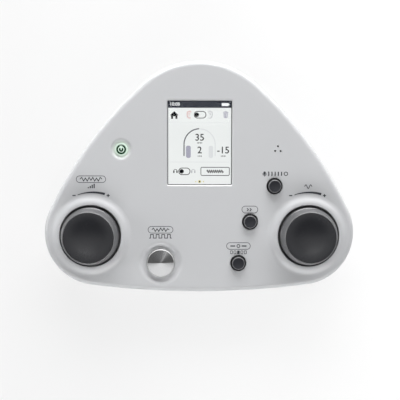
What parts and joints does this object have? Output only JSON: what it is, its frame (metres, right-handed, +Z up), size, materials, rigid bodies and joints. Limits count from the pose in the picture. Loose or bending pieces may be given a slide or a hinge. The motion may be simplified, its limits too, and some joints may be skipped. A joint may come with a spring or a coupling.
{
  "type": "screening audiometer",
  "caption": "Desk screening audiometer: rounded-triangle sloping case with two endless dials, a metal tone button, round keys, a touch display and rear sockets.",
  "frame": {"origin": "centre of the case's footprint, on the surface that its feet stand on", "axes": "+X to the user's right, +Y to the rear where the sockets are, +Z up"},
  "size_m": [0.2402, 0.1786, 0.0491],
  "materials": {
    "case_grey": "fine satin moulding",
    "base_grey": "fine satin moulding",
    "steel": "zinc plated",
    "foot_rubber": "matt",
    "plate_metal": "black anodised",
    "nut_metal": "nickel plated",
    "jack_plastic": "moulded",
    "circuit_board": "solder resist",
    "component_black": "moulded",
    "ribbon_amber": "polyimide film",
    "socket_white": "moulded",
    "battery_wrap": "shrink wrap",
    "contact_brass": "plain",
    "gasket_black": "closed foam",
    "display_glass": "clear, polished",
    "display_metal": "pressed frame",
    "lamp_green": "clear green",
    "encoder_metal": "plain",
    "skirt_grey": "satin metallic grey",
    "cap_charcoal": "soft touch",
    "turned_aluminium": "turned face",
    "key_charcoal": "soft touch",
    "button_green": "translucent, lit green"
  },
  "bodies": {
    "case": {"upper_cover": "case_grey", "lower_cover": "base_grey", "case_screws": "steel", "rubber_feet": "foot_rubber", "connector_plate": "plate_metal", "plate_screws": "steel", "jack_nuts": "nut_metal", "usb_port": "steel", "left_phone_jack": "jack_plastic", "right_phone_jack": "jack_plastic", "bone_jack": "jack_plastic", "response_jack": "jack_plastic", "main_board": "circuit_board", "main_board_parts": "component_black", "main_board_screws": "steel", "display_ribbon": "ribbon_amber", "board_ribbon": "ribbon_amber", "ribbon_sockets": "socket_white", "battery_pack": "battery_wrap", "battery_door": "base_grey", "door_screws": "steel", "battery_contacts": "contact_brass", "display_gasket": "gasket_black", "touch_panel": "display_glass", "display_module": "display_metal", "display_bracket": "steel", "bracket_screws": "steel", "control_board": "circuit_board", "control_board_screws": "steel", "key_switches": "component_black", "stimulus_switch": "component_black", "power_switch": "component_black", "power_lamp": "lamp_green", "microphone_boot": "foot_rubber", "microphone_capsule": "steel", "left_encoder_body": "encoder_metal", "left_encoder_nut": "nut_metal", "right_encoder_body": "encoder_metal", "right_encoder_nut": "nut_metal"},
    "left_dial": {"left_dial_skirt": "skirt_grey", "left_dial_cap": "cap_charcoal", "left_dial_clip": "steel", "left_encoder_shaft": "encoder_metal"},
    "right_dial": {"right_dial_skirt": "skirt_grey", "right_dial_cap": "cap_charcoal", "right_dial_clip": "steel", "right_encoder_shaft": "encoder_metal"},
    "stimulus_key": {"stimulus_cap": "turned_aluminium", "stimulus_carrier": "component_black"},
    "talk_key": {"talk_button": "key_charcoal"},
    "shift_key": {"shift_button": "key_charcoal"},
    "store_key": {"store_button": "key_charcoal"},
    "power_key": {"power_button": "button_green"}
  },
  "joints": [
    {"name": "left_dial_turn", "type": "hinge", "parent": "case", "child": "left_dial", "pos_m": [-0.0843, -0.0457, 0.03134], "axis": [0, -0.0958, 0.9954], "continuous": true},
    {"name": "right_dial_turn", "type": "hinge", "parent": "case", "child": "right_dial", "pos_m": [0.0843, -0.0457, 0.03134], "axis": [0, -0.0958, 0.9954], "continuous": true},
    {"name": "stimulus_press", "type": "slide", "parent": "case", "child": "stimulus_key", "axis": [0, 0.0958, -0.9954], "range_m": [0, 0.0008], "stiffness_N_per_m": 700, "springref_m": -0.001},
    {"name": "talk_press", "type": "slide", "parent": "case", "child": "talk_key", "axis": [0, 0.0958, -0.9954], "range_m": [0, 0.0012], "stiffness_N_per_m": 800, "springref_m": -0.0008},
    {"name": "shift_press", "type": "slide", "parent": "case", "child": "shift_key", "axis": [0, 0.0958, -0.9954], "range_m": [0, 0.0012], "stiffness_N_per_m": 800, "springref_m": -0.0008},
    {"name": "store_press", "type": "slide", "parent": "case", "child": "store_key", "axis": [0, 0.0958, -0.9954], "range_m": [0, 0.0012], "stiffness_N_per_m": 800, "springref_m": -0.0008},
    {"name": "power_press", "type": "slide", "parent": "case", "child": "power_key", "axis": [0, 0.0958, -0.9954], "range_m": [0, 0.0006], "stiffness_N_per_m": 800, "springref_m": -0.0008}
  ]
}
